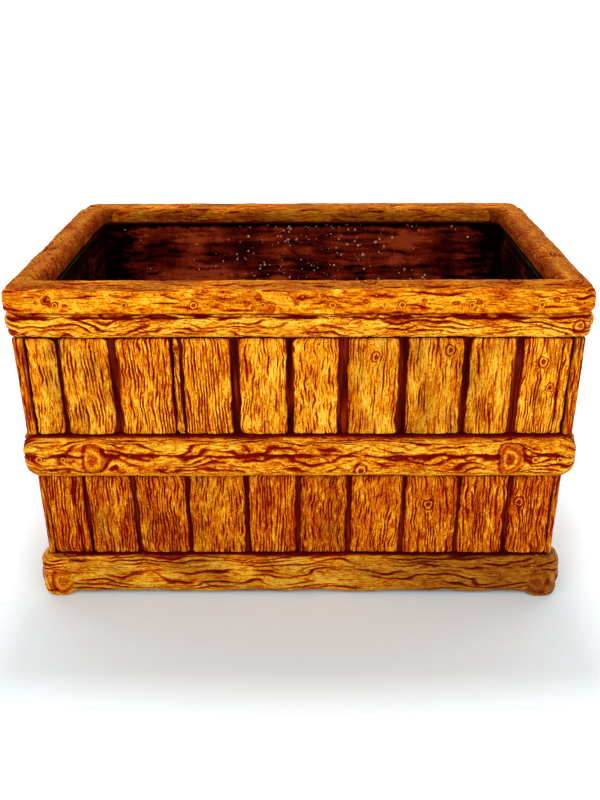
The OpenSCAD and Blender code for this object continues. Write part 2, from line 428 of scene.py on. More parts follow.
class Mesher:
    """Gathers swept skins and turns them into one mesh with its attributes and its own map."""

    def __init__(self, cells: int = 1) -> None:
        """Prepare a map with room for a number of skins.

        Args:
            cells: How many skins the mesh gets.
        """
        self.columns = math.ceil(math.sqrt(cells))
        self.lines = math.ceil(cells / self.columns)
        self.used = 0
        self.count = 0
        self.places, self.relief, self.worn, self.grain = [], [], [], []
        self.corners, self.starts, self.uv = [], [], []
        self.loops = 0

    def skin(self, points: np.ndarray, tone: np.ndarray, worn: np.ndarray, grain: np.ndarray) -> None:
        """Add one closed skin from rows of points, each row a ring.

        Args:
            points: Rows by columns by three, in millimetres.
            tone: Tone of each point.
            worn: Wear of each point, with painted shade on the rim logs' inner sides.
            grain: Grain coordinates of each point.
        """
        rows, cols = tone.shape
        ends = np.stack([points[0].mean(0), points[-1].mean(0)])
        self.places += [points.reshape(-1, 3), ends]
        for store, values in ((self.relief, tone), (self.worn, worn)):
            store += [values.ravel(), values[[0, -1]].mean(1)]
        self.grain += [grain.reshape(-1, 3), grain[[0, -1]].mean(1)]
        turn = slice(None, None, self.winding(points))
        cell = (self.used % self.columns, self.used // self.columns)
        scale, shift = np.array([1 / self.columns, 1 / self.lines]), np.array(cell)
        for faces, uvs in zip(self.faces(rows, cols), self.unrolled(points)):
            side = faces.shape[1]
            self.corners.append((faces[:, turn] + self.count).ravel())
            self.starts.append(self.loops + side * np.arange(len(faces)))
            self.loops += side * len(faces)
            self.uv.append(((uvs[:, turn] * 0.97 + 0.015 + shift) * scale).reshape(-1, 2))
        self.count += rows * cols + 2
        self.used += 1

    @staticmethod
    def winding(points: np.ndarray) -> int:
        """Find which way round a skin's faces look outwards.

        Args:
            points: The skin's points.

        Returns:
            1 where the rings already turn the right way, else -1.
        """
        ring, following = points[len(points) // 2], points[len(points) // 2 + 1]
        across = ring - ring.mean(0)
        spin = np.cross(across, np.roll(across, -1, 0)).sum(0)
        way = following.mean(0) - ring.mean(0)
        return 1 if spin @ way > 0 else -1

    @staticmethod
    def faces(rows: int, cols: int) -> Pair:
        """Number the faces of a skin.

        Args:
            rows: How many rings it has.
            cols: How many points each has.

        Returns:
            The quads between the rings and the triangles that close the ends.
        """
        i, j = np.meshgrid(np.arange(rows - 1), np.arange(cols), indexing="ij")
        beside = (j + 1) % cols
        quads = np.stack([i * cols + j, i * cols + beside, (i + 1) * cols + beside, (i + 1) * cols + j], -1)
        k = np.arange(cols)
        first_end, last_end, last_ring = rows * cols, rows * cols + 1, (rows - 1) * cols
        fans = np.concatenate([
            np.stack([np.full(cols, first_end), (k + 1) % cols, k], -1),
            np.stack([np.full(cols, last_end), last_ring + k, last_ring + (k + 1) % cols], -1),
        ])
        return quads.reshape(-1, 4), fans

    @staticmethod
    def unrolled(points: np.ndarray) -> Pair:
        """Unroll a skin flat, for its map.

        Args:
            points: The skin's points.

        Returns:
            Places on the map for the corners of the quads and of the triangles.
        """
        rows, cols = points.shape[:2]
        step = np.linalg.norm(np.diff(points, axis=0), axis=2).mean(1)
        v = np.concatenate([[0.3], 0.3 + np.cumsum(np.maximum(step, 0.15))])
        v = v / (v[-1] + 0.3)
        ring = points[rows // 2]
        around = np.linalg.norm(np.diff(ring, axis=0, append=ring[:1]), axis=1)
        u = np.concatenate([[0], np.cumsum(np.maximum(around, 0.2))])
        u = u / u[-1]
        i, j = np.meshgrid(np.arange(rows - 1), np.arange(cols), indexing="ij")
        quads = np.stack([
            np.stack([u[j], v[i]], -1), np.stack([u[j + 1], v[i]], -1),
            np.stack([u[j + 1], v[i + 1]], -1), np.stack([u[j], v[i + 1]], -1),
        ], 2).reshape(-1, 4, 2)
        middle, left, right = (u[:-1] + u[1:]) / 2, u[:-1], u[1:]
        fans = []
        for tip, base, near, far in ((0.0, v[0], right, left), (1.0, v[-1], left, right)):
            level = np.full(cols, base)
            fans.append(np.stack([np.stack([middle, np.full(cols, tip)], -1), np.stack([near, level], -1),
                                  np.stack([far, level], -1)], 1))
        return quads, np.concatenate(fans)

    def build(self, name: str) -> bpy.types.Object:
        """Make the object.

        Args:
            name: The piece's name.

        Returns:
            The new object, smooth shaded, in the scene.
        """
        mesh = bpy.data.meshes.new(name)
        places = np.concatenate(self.places) * MM
        corners, starts = np.concatenate(self.corners), np.concatenate(self.starts)
        mesh.vertices.add(len(places))
        mesh.vertices.foreach_set("co", places.astype(np.float32).ravel())
        mesh.loops.add(len(corners))
        mesh.loops.foreach_set("vertex_index", corners.astype(np.int32))
        mesh.polygons.add(len(starts))
        mesh.polygons.foreach_set("loop_start", starts.astype(np.int32))
        mesh.update(calc_edges=True)
        mesh.uv_layers.new(name="OFBake").data.foreach_set(
            "uv", np.concatenate(self.uv).astype(np.float32).ravel())
        for label, values in (("relief", self.relief), ("worn", self.worn)):
            layer = mesh.attributes.new(label, "FLOAT", "POINT")
            layer.data.foreach_set("value", np.concatenate(values).astype(np.float32))
        layer = mesh.attributes.new("grain", "FLOAT_VECTOR", "POINT")
        layer.data.foreach_set("vector", np.concatenate(self.grain).astype(np.float32).ravel())
        mesh.polygons.foreach_set("use_smooth", np.ones(len(starts), bool))
        piece = bpy.data.objects.new(name, mesh)
        bpy.context.scene.collection.objects.link(piece)
        return piece


def normals_of(points: np.ndarray) -> np.ndarray:
    """Outward normals of a swept skin.

    Args:
        points: Rows by columns by three; each row is a closed ring.

    Returns:
        Unit normals in the same layout.
    """
    around = np.roll(points, -1, 1) - np.roll(points, 1, 1)
    forward = np.gradient(points, axis=0)
    n = np.cross(around, forward)
    n /= np.maximum(np.linalg.norm(n, axis=2, keepdims=True), 1e-9)
    outward = points - points.mean(1, keepdims=True)
    if (n * outward).sum() < 0:
        n = -n
    return n


class Side(Enum):
    """The box's four sides, by quarter turns from the front."""

    FRONT = 0
    RIGHT = 1
    BACK = 2
    LEFT = 3

    @property
    def word(self) -> str:
        """The side's name in the frame."""
        return self.name.lower()

    @property
    def long(self) -> bool:
        """Whether this is one of the two long sides."""
        return self in (Side.FRONT, Side.BACK)

    def pick(self, front: float, back: float, ends: float) -> float:
        """One of three values: for the front, for the back or for the two short sides."""
        return {Side.FRONT: front, Side.BACK: back}.get(self, ends)

    def turn(self, run: np.ndarray, reach: np.ndarray) -> Pair:
        """Turn a place on this side into x and y.

        Args:
            run: Place along the side, rightwards as seen from outside.
            reach: Distance outwards from the box's middle.

        Returns:
            The x and y.
        """
        return {
            Side.FRONT: (run, -reach),
            Side.RIGHT: (reach, run),
            Side.BACK: (-run, reach),
            Side.LEFT: (-reach, -run),
        }[self]

    def unturn(self, x: np.ndarray, y: np.ndarray) -> Pair:
        """Turn x and y into a place along this side and its reach.

        Args:
            x: The x.
            y: The y.

        Returns:
            Place along the side and distance outwards.
        """
        return {
            Side.FRONT: (x, -y),
            Side.RIGHT: (y, x),
            Side.BACK: (-x, y),
            Side.LEFT: (-y, -x),
        }[self]


class Tier(Enum):
    """The tiers of rails and boards, by their names in the frame."""

    UPPER = "upper"
    MID = "mid"
    LOWER = "lower"
    BASE = "base"


def vertices(node: str) -> np.ndarray:
    """The corner points of a frame node in millimetres.

    Args:
        node: The node's name.

    Returns:
        Points by three.
    """
    mesh = frame["nodes"][node].data
    co = np.zeros(len(mesh.vertices) * 3, np.float32)
    mesh.vertices.foreach_get("co", co)
    return co.reshape(-1, 3).astype(float) / MM


@dataclass(frozen=True)
class Face:
    """One leaning side of the trough: its outer face at the bottom and top of the wall."""

    side: Side
    low: float
    high: float
    low_reach: float
    high_reach: float

    @classmethod
    def of(cls, side: Side) -> "Face":
        """Measure the side from its wall node.

        Args:
            side: Which side.

        Returns:
            The measured side.
        """
        x, y, z = vertices(f"wall_{side.word}").T
        _, reach = side.unturn(x, y)
        bottom, top = z < z.min() + 0.01, z > z.max() - 0.01
        return cls(side, z.min(), z.max(), reach[bottom].max(), reach[top].max())

    @property
    def slope(self) -> float:
        """Reach gained per millimetre of height."""
        return (self.high_reach - self.low_reach) / (self.high - self.low)

    def reach(self, z: np.ndarray | float) -> np.ndarray | float:
        """How far out the trough's outer face lies at a height."""
        return self.low_reach + (z - self.low) * self.slope

    def place(self, run: np.ndarray, z: np.ndarray, out: np.ndarray) -> np.ndarray:
        """Put a place on this side into the frame.

        Args:
            run: Place along the side.
            z: Height.
            out: Distance outwards from the trough's outer face.

        Returns:
            Points with x, y and z last.
        """
        run, z, out = np.broadcast_arrays(run, z, out)
        x, y = self.side.turn(run, self.reach(z) + out)
        return np.stack([x, y, z], -1)

    def local(self, node: str) -> np.ndarray:
        """Read a node's points in the side's own terms.

        Args:
            node: The node's name.

        Returns:
            Place along the side, height, and distance out from the trough's face of each point.
        """
        x, y, z = vertices(node).T
        run, reach = self.side.unturn(x, y)
        return np.stack([run, z, reach - self.reach(z)], -1)


# ---------------------------------------------------------------------------------------------- shaders


class Number:
    """A number on its way through a finish's nodes; sums and products add Math nodes."""

    def __init__(self, recipe: "Recipe", socket: bpy.types.NodeSocket) -> None:
        """Wrap one output."""
        self.recipe, self.socket = recipe, socket

    def math(self, operation: str, a: "Number | float", b: "Number | float") -> "Number":
        """Add one Math node for an operation on two numbers."""
        node = self.recipe.node("ShaderNodeMath", {"operation": operation}, {0: a, 1: b})
        return Number(self.recipe, node.outputs[0])

    def __add__(self, other: "Number | float") -> "Number":
        """Sum."""
        return self.math("ADD", self, other)

    __radd__ = __add__

    def __sub__(self, other: "Number | float") -> "Number":
        """Difference."""
        return self.math("SUBTRACT", self, other)

    def __rsub__(self, other: float) -> "Number":
        """Difference from a plain number."""
        return self.math("SUBTRACT", other, self)

    def __mul__(self, other: "Number | float") -> "Number":
        """Product."""
        return self.math("MULTIPLY", self, other)

    __rmul__ = __mul__

    def between(self, low: float, high: float) -> "Number":
        """Rise smoothly from 0 at low to 1 at high.

        Args:
            low: Where the rise starts.
            high: Where it ends.

        Returns:
            The risen share.
        """
        node = self.recipe.node("ShaderNodeMapRange", {"interpolation_type": "SMOOTHSTEP"},
                                {"Value": self, "From Min": low, "From Max": high})
        return Number(self.recipe, node.outputs["Result"])


class Recipe:
    """Builds one finish's node tree."""

    def __init__(self, name: str) -> None:
        """Start an empty material with a Principled shader.

        Args:
            name: The material's name.
        """
        self.material = bpy.data.materials.new(name)
        self.material.use_nodes = True
        self.tree = self.material.node_tree
        self.tree.nodes.clear()
        self.shader = self.node("ShaderNodeBsdfPrincipled")
        output = self.node("ShaderNodeOutputMaterial")
        self.tree.links.new(self.shader.outputs[0], output.inputs[0])

    def node(self, kind: str, settings: dict | None = None, values: dict | None = None) -> bpy.types.Node:
        """Add one node.

        Args:
            kind: Its type.
            settings: Its own settings, set first; "stops" are a ramp's places and colours.
            values: Its sockets' values or links, by name or number.

        Returns:
            The node.
        """
        made = self.tree.nodes.new(kind)
        for key, setting in (settings or {}).items():
            if key == "stops":
                ramp = made.color_ramp.elements
                while len(ramp) < len(setting):
                    ramp.new(0.5)
                for element, (place, colour) in zip(ramp, setting):
                    element.position, element.color = place, colour
            else:
                setattr(made, key, setting)
        self.feed(made, values or {})
        return made

    def feed(self, node: bpy.types.Node, values: dict) -> None:
        """Set or link a node's sockets.

        Args:
            node: The node.
            values: Values, outputs or numbers, by socket name or number.
        """
        for key, value in values.items():
            if isinstance(value, Number):
                value = value.socket
            if isinstance(value, bpy.types.NodeSocket):
                self.tree.links.new(value, node.inputs[key])
            else:
                node.inputs[key].default_value = value

    def attribute(self, name: str) -> Number:
        """Read one of the mesh's own numbers."""
        node = self.node("ShaderNodeAttribute", {"attribute_name": name})
        return Number(self, node.outputs["Fac"])

    def grain(self) -> bpy.types.NodeSocket:
        """Read the grain coordinates."""
        return self.node("ShaderNodeAttribute", {"attribute_name": "grain"}).outputs["Vector"]

    def noise(self, place: bpy.types.NodeSocket, stretch: tuple, detail: float = 3.0,
              rough: float = 0.6, warp: float = 0.0) -> Number:
        """Noise over stretched coordinates.

        Args:
            place: The coordinates.
            stretch: Their scale on each axis.
            detail: Layers of detail.
            rough: Strength of the finer layers.
            warp: How far it is warped.

        Returns:
            The noise, about 0 to 1.
        """
        scaled = self.node("ShaderNodeVectorMath", {"operation": "MULTIPLY"}, {0: place, 1: stretch})
        node = self.node("ShaderNodeTexNoise", {}, {
            "Vector": scaled.outputs[0], "Scale": 1.0, "Detail": detail,
            "Roughness": rough, "Distortion": warp})
        return Number(self, node.outputs[0])

    def ramp(self, value: Number, stops: list) -> bpy.types.NodeSocket:
        """Colour a number by stops."""
        return self.node("ShaderNodeValToRGB", {"stops": stops}, {0: value}).outputs[0]

    def mix(self, share: Number, a: object, b: object) -> bpy.types.NodeSocket:
        """Mix two colours by a share."""
        node = self.node("ShaderNodeMix", {"data_type": "RGBA"}, {0: share, 6: a, 7: b})
        return node.outputs[2]

    def bump(self, height: Number, depth: float, strength: float) -> None:
        """Raise the surface by a number over a depth in metres."""
        node = self.node("ShaderNodeBump", {}, {"Height": height, "Distance": depth, "Strength": strength})
        self.feed(self.shader, {"Normal": node.outputs[0]})


@dataclass(frozen=True)
class RubbedGold:
    """Ochre gold rubbed over a dark red ground: bright on high parts, red in grooves, umber where dull."""

    name: str
    lift: float = 0.0
    dull: float = 0.0
    gloss: float = 1.15
    deep: Colour = srgb(118, 7, 0)
    ground: Colour = srgb(156, 26, 0)
    low: Colour = srgb(188, 68, 2)
    middle: Colour = srgb(217, 112, 5)
    high: Colour = srgb(250, 170, 16)
    rubbed: Colour = srgb(255, 208, 74)
    umber: tuple[tuple[float, Colour], ...] = (
        (0.05, srgb(78, 8, 1)), (0.25, srgb(112, 27, 2)), (0.5, srgb(134, 58, 7)),
        (0.75, srgb(166, 94, 15)), (1.0, srgb(200, 132, 36)),
    )
    pale_fleck: Colour = srgb(240, 190, 110)
    sheen: Colour = (1.0, 0.66, 0.22, 1.0)

    def make(self) -> bpy.types.Material:
        """Build the finish.

        Returns:
            The material.
        """
        r = Recipe(self.name)
        place = r.grain()
        # The tone attribute: the grain's tone, with painted shade laid into it on the walls and the rim logs'
        # inner sides.
        relief, worn = r.attribute("relief"), r.attribute("worn")
        streak = r.noise(place, (0.07, 0.75, 1.0), 4, 0.65, 0.4)
        speck = r.noise(place, (0.55, 0.95, 1.0), 3, 0.8)
        blotch = r.noise(place, (0.030, 0.055, 1.0), 3, 0.55)
        tone = relief + 0.50 * (streak - 0.5) + 0.95 * (speck - 0.5)
        tone = tone + 0.36 * (blotch - 0.5) + (self.lift - 0.10)
        bright = r.ramp(tone, [(0.06, self.deep), (0.24, self.ground), (0.42, self.low),
                               (0.60, self.middle), (0.78, self.high), (0.98, self.rubbed)])
        umber = r.ramp(tone, list(self.umber))
        # Umber on wear, and on the rim logs' inner sides as painted shade.
        age = (worn + 0.5 * (blotch - 0.5) + self.dull).between(0.15, 0.95)
        colour = r.mix(age, bright, umber)
        fleck = r.noise(place, (0.33, 0.4, 1.0), 2, 0.5).between(0.70, 0.78) * 0.35
        colour = r.mix(fleck, colour, self.pale_fleck)
        roughness = 0.62 - 0.20 * tone.between(0.2, 0.9) + 0.18 * (speck - 0.5)
        r.feed(r.shader, {"Base Color": colour, "Roughness": roughness, "IOR": self.gloss,
                          "Specular Tint": self.sheen})
        r.bump(0.6 * streak + 0.5 * speck + 0.25 * fleck, 0.0007, 0.55)
        return r.material


@dataclass(frozen=True)
class TroughGlaze:
    """Thin maroon glaze brushed sideways inside the trough, glossy, with redder blotches."""

    name: str

    def make(self) -> bpy.types.Material:
        """Build the finish.

        Returns:
            The material.
        """
        r = Recipe(self.name)
        place = r.node("ShaderNodeTexCoord").outputs["Object"]
        smear = r.noise(place, (14, 14, 95), 5, 0.6, 0.8)
        blotch = r.noise(place, (22, 22, 13), 4, 0.6)
        speck = r.noise(place, (420, 420, 420), 2, 0.5)
        drip = r.noise(place, (260, 260, 16), 4, 0.6, 0.4)
        # The tone attribute carries the walls' painted shade: a dark band under the rim, dark corners and
        # near-black short walls.
        shade = r.attribute("relief").between(-0.6, 0.7)
        tone = 1.0 * smear + 1.25 * (blotch - 0.5) + 0.25 * (speck - 0.5) + 0.50 * shade - 0.41
        colour = r.ramp(tone, [(0.24, srgb(12, 1, 1)), (0.42, srgb(66, 8, 4)), (0.58, srgb(114, 27, 9)),
                               (0.76, srgb(166, 62, 26))])
        fleck = speck.between(0.72, 0.80) * 0.4
        colour = r.mix(fleck, colour, srgb(208, 150, 110))
        outside = r.attribute("worn").between(0.6, 1.4)
        colour = r.mix(outside, colour, r.ramp(drip, [(0.36, srgb(62, 4, 1)), (0.5, srgb(112, 14, 2)),
                                                    (0.62, srgb(158, 44, 6))]))
        r.feed(r.shader, {"Base Color": colour, "Roughness": 0.30 + 0.30 * smear, "IOR": 1.1,
                          "Specular Tint": (1.0, 0.62, 0.45, 1.0)})
        r.bump(0.7 * smear + 0.4 * speck, 0.0012, 0.5)
        return r.material


@dataclass(frozen=True)
class PaleGrit:
    """Chalky cream grit."""

    name: str

    def make(self) -> bpy.types.Material:
        """Build the finish.

        Returns:
            The material.
        """
        r = Recipe(self.name)
        place = r.node("ShaderNodeTexCoord").outputs["Object"]
        stain = r.noise(place, (300, 300, 300), 3, 0.6)
        pore = r.noise(place, (1500, 1500, 1500), 2, 0.5)
        colour = r.ramp(stain, [(0.3, srgb(150, 84, 58)), (0.55, srgb(214, 172, 140)),
                                (0.8, srgb(240, 222, 200))])
        r.feed(r.shader, {"Base Color": colour, "Roughness": 0.75 + 0.2 * (pore - 0.5)})
        r.bump(pore, 0.0006, 0.6)
        return r.material


@dataclass(frozen=True)
class StudioSheet:
    """Plain pale sheet under the box, glowing towards its far parts."""

    name: str = "studio_sheet"
    paper: Colour = (0.87, 0.93, 0.945, 1.0)
    near_glow: Colour = (0.05, 0.08, 0.09, 1.0)
    far_glow: Colour = (0.95, 0.95, 0.95, 1.0)

    def make(self) -> bpy.types.Material:
        """Build the finish.

        Returns:
            The material.
        """
        r = Recipe(self.name)
        place = r.node("ShaderNodeTexCoord").outputs["Object"]
        away = Number(r, r.node("ShaderNodeVectorMath", {"operation": "LENGTH"}, {0: place}).outputs["Value"])
        glow = r.mix(away.between(0.9, 3.5), self.near_glow, self.far_glow)
        r.feed(r.shader, {"Base Color": self.paper, "Roughness": 0.9, "Specular IOR Level": 0.0,
                          "Emission Color": glow, "Emission Strength": 1.0})
        return r.material


class Finishes:
    """All the finishes, built once."""

    def __init__(self) -> None:
        """Build every finish."""
        self.rim = RubbedGold("rim_gold", lift=-0.09, gloss=1.03).make()
        self.rail = RubbedGold("rail_gold", lift=0.05).make()
        self.base = RubbedGold("base_gold", lift=0.02, dull=0.16).make()
        self.board = RubbedGold("board_gold", lift=0.0).make()
        self.low_board = RubbedGold("low_board_gold", lift=-0.13).make()
        self.trough = TroughGlaze("trough_glaze").make()
        self.grit = PaleGrit("pale_grit").make()


def dress(piece: bpy.types.Object, finish: bpy.types.Material, nodes: tuple[str, ...]) -> None:
    """Give a piece its finish, its body and the nodes it stands for.

    Args:
        piece: The piece.
        finish: Its material.
        nodes: The frame nodes it replaces, if any.
    """
    piece.data.materials.clear()
    piece.data.materials.append(finish)
    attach(piece, "root")
    if nodes:
        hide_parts(*nodes)
    stands_for = ", ".join(nodes) or "nothing"
    LOG.info("%s: %d faces, stands for %s", piece.name, len(piece.data.polygons), stands_for)


# ---------------------------------------------------------------------------------------------- pieces


@dataclass
class Loaf:
    """A rounded length with carved grain: the shape that rails, logs and boards share."""

    outline: Outline
    stations: Stations
    grain: Grain
    stain: float = 5.0
    stain_from: float = 1.0
    wear: float = 0.25
    low_wave: float = 0.6
    high_wave: float = 0.6
    wave_length: float = 40.0
    swell: float = 0.0
    back_wear: float = 0.0
    end_wear: float = 0.0
    edge_shade: float = 0.0
    end_shade: float = 0.0
    crest: float | None = None
    crest_wear: float = 0.5
    inner_shade: float = 0.0
    painted_shade: float = 0.0

    def lay(self, mesher: Mesher, place: Place) -> None:
        """Build the skin and add it to a mesh.

        Args:
            mesher: The mesh being gathered.
            place: Turns places along, out and across into points of the frame.
        """
        o, st = self.outline.points(), self.stations
        noise = Noise(self.grain.seed * 13 + 5)
        s = st.s[:, None]
        half = ((st.high - st.low) / 2)[:, None]
        middle = ((st.high + st.low) / 2)[:, None]
        deep = (st.face / 2)[:, None]
        # The outline at each station, bent by the waves of both edges and swollen along the middle.
        r = np.minimum(o["r"][None], 0.96 * np.minimum(half, deep))
        across = (half - r) * o["ca"] + r * o["na"]
        out = deep + (deep - r) * o["co"] + r * o["no"]
        share = across / half
        high = self.high_wave * noise.layered(s / self.wave_length, 0.5 + 0 * s, 3)
        low = self.low_wave * noise.layered(s / self.wave_length, 40.5 + 0 * s, 3)
        rounded = middle + across + (1 + share) / 2 * high + (1 - share) / 2 * low
        out = out * (1 + self.swell / self.outline.depth * (1 - share**2))
        shrink = st.shrink[:, None]
        rounded = middle + (rounded - middle) * shrink
        out = deep + (out - deep) * shrink
        points = place(s, out, rounded)
        # The carved grain's height, which fades towards the hidden back, and the ridge along a crest.
        t = o["t"][None] + 0 * s
        height, tone = self.grain.carve(s + 0 * t, t)
        shown = ease(0.0, 0.35 * self.outline.depth, out)
        height = height * (0.12 + 0.88 * shown) * ease(0.0, 0.8, shrink)
        if self.crest is not None:
            ridge = t - self.crest - 2.6 * noise.layered(s / 24, 0 * s + 90.5, 4)
            height = height + 0.9 * np.exp(-((ridge / 2.0) ** 2))
            height = height - 0.8 * np.exp(-(((ridge + 4.5) / 3.0) ** 2))
        points = points + normals_of(points) * height[..., None]
        # The tone: dark at the back and, where the piece says so, painted shade under its upper edge and at
        # its ends.
        stain = ease(self.stain_from, self.stain_from + self.stain, out + 1.2 * noise.at(s / 9, t / 9 + 11))
        tone = tone * (0.08 + 0.92 * stain)
        if self.edge_shade:
            tone = tone - 1.2 * (1 - ease(0, self.edge_shade, st.high[:, None] - rounded))
            tone = tone - 0.9 * (1 - ease(0, self.end_shade, np.minimum(s, s[-1] - s)))
        # Painted shade over the whole skin, which darkens the short walls nearly to black.
        tone = np.clip(tone - self.painted_shade, -0.8, 1.2)
        # The wear, and painted shade on a crest piece's inner side, laid into both the wear and the tone.
        worn = self.wear + 0.35 * noise.layered(s / 60, t / 30 + 70, 2)
        worn = worn + self.back_wear * (1 - ease(1.0, 4.0, out)) + self.end_wear * ease(0.45, 0.95, s / s[-1])
        if self.crest is not None:
            inside = 1 - ease(-15.0, -7.0, t)
            worn = worn + self.crest_wear * (1 - ease(-4.0, 3.0, ridge)) + 2 * self.inner_shade * inside
            tone = tone - self.inner_shade * inside
        coordinates = np.stack(np.broadcast_arrays(s, t, self.grain.seed * 3.7), -1)
        mesher.skin(points, tone, worn + 0 * tone, coordinates)


@dataclass
class Rail:
    """One rail along a side."""

    face: Face
    tier: Tier
    seed: int
    step: float
    knots: tuple[Knot, ...] = ()
    face_radius: float = 7.0
    end_face: float = 9.0
    end_side: float = 5.0
    pitch: float = 7.5
    length: float = 62.0
    depth: float = 1.9
    wander: float = 1.7
    wear: float = 0.25
    crown: float = 0.6
    wave: float = 1.1
    swell: float = 1.2
    tuck: float = 0.0
    stain_from: float = 4.0
    end_wear: float = 0.0
    wave_length: float = 34.0
    bold: float = 1.0
    fullness: float = 0.06
    splits: tuple[float, ...] = ()

    @property
    def name(self) -> str:
        """The node's name."""
        return f"{self.tier.value}_rail_{self.face.side.word}"

    def build(self) -> bpy.types.Object:
        """Make the rail.

        Returns:
            The rail's mesh object.
        """
        run, z, out = self.face.local(self.name).T
        low, high, depth = z.min(), z.max(), out.max()
        width, middle = high - low, (low + high) / 2
        reach = np.abs(run).max()
        lean = self.face.slope
        mitre = 0.0 if self.tier is Tier.BASE else lean * (high - middle)
        half = reach - mitre + self.tuck
        tight = max(self.end_face, self.end_side) if self.tier is Tier.MID else self.end_face
        st = Stations.along(2 * half, width, depth, self.step, tight)
        free = self.tier is not Tier.BASE and self.face.side.long
        for distance in st.from_ends:
            st.face = st.face - round_off(distance, self.end_face if free else 1.5)
            st.high = st.high - round_off(distance, self.end_side if free else 2.0)
            st.low = st.low + round_off(distance, self.end_side if free else 2.0)
        grain = Grain(self.seed, self.pitch, self.length, self.wander, self.depth, self.crown, fibre=0.25,
                      pits=0.55, fullness=self.fullness, knots=tuple(k.moved(half) for k in self.knots),
                      splits=self.splits, bold=self.bold)
        outline = Outline(depth, width, min(self.face_radius, width / 2.4), 0.8, self.step * 0.95, 5.0)
        loaf = Loaf(outline, st, grain, stain=4.5, stain_from=self.stain_from, wear=self.wear,
                    low_wave=self.wave, high_wave=self.wave, wave_length=self.wave_length,
                    swell=self.swell, end_wear=self.end_wear)

        def place(s: np.ndarray, o: np.ndarray, a: np.ndarray) -> np.ndarray:
            """Along the side, out from the trough, up the rail."""
            return self.face.place((s - half) * (1 + lean * a / half), middle + a, o)

        mesher = Mesher()
        loaf.lay(mesher, place)
        return mesher.build(f"{self.name}_piece")


@dataclass
class RimLog:
    """One log of the rim."""

    face: Face
    seed: int
    step: float
    knots: tuple[Knot, ...] = ()
    edge: float = 8.0
    corner: float = 26.0
    corner_top: float = 12.0
    front_flare: float = 8.0
    back_flare: float = 24.0
    sunk: float = 3.0
    inward: float = 4.5
    sway: float = 1.3
    rise: float = 0.0
    under: float = 6.0
    wear: float = 0.35
    slant: float = 0.0

    @property
    def name(self) -> str:
        """The node's name."""
        return f"rim_log_{self.face.side.word}"

    def build(self) -> bpy.types.Object:
        """Make the log.

        Returns:
            The log's mesh object.
        """
        x, y, z = vertices(self.name).T
        side = self.face.side
        run, reach = side.unturn(x, y)
        inner, outer, bottom, top = reach.min(), reach.max(), z.min(), z.max()
        half = np.abs(run).max() + (0 if side.long else self.sunk)
        width, depth, middle = outer - inner, top - bottom, (inner + outer) / 2
        st = Stations.along(2 * half, width, depth, self.step, self.corner)
        st.low = st.low - self.inward
        flares = (self.front_flare, self.back_flare)
        # The left side runs from the back to the front.
        if side is Side.LEFT:
            flares = flares[::-1]
        for distance, flare in zip(st.from_ends, flares):
            if side.long:
                st.high = st.high - round_off(distance, self.corner)
                st.face = st.face - round_off(distance, self.corner_top)
            else:
                st.low = st.low - round_off(np.maximum(distance - self.sunk, 0), flare)
                st.face = st.face - 0.9 * (1 - ease(0, 9, distance))
        front = side is Side.FRONT
        grain = Grain(self.seed, pitch=4.6, length=34.0 if side.long else 15.0,
                      wander=1.3 if side.long else 0.7, depth=0.9 if front else 0.5, crown=0.3, fibre=0.3,
                      pits=0.9 if front else 0.35, slant=self.slant,
                      fullness=-0.12 if side.long else -0.25,
                      knots=tuple(k.moved(half) for k in self.knots))
        outline = Outline(depth, width, self.edge, self.under, self.step, 4.0)
        # Each log's inner side gets painted shade, least on the back log, whose inner side faces the front.
        loaf = Loaf(outline, st, grain, stain=3.0 if front else 5.0, stain_from=-1.0 if front else 1.0,
                    wear=self.wear, low_wave=0.9, high_wave=self.sway, wave_length=26.0 * self.sway,
                    swell=self.rise, crest=12.5, crest_wear=0.75 if front else 0.1,
                    inner_shade=side.pick(0.12, 0.02, 0.2))

        def place(s: np.ndarray, o: np.ndarray, a: np.ndarray) -> np.ndarray:
            """Along the side, up from the rails, outwards across the log.

            Args:
                s: Place along the piece.
                o: Place out from its hidden face.
                a: Place across it.

            Returns:
                Points with x, y and z last.
            """
            run_at, up, reach_at = np.broadcast_arrays(s - half, bottom + o, middle + a)
            px, py = side.turn(run_at, reach_at)
            return np.stack([px, py, up], -1)

        mesher = Mesher()
        loaf.lay(mesher, place)
        return mesher.build(f"{self.name}_piece")


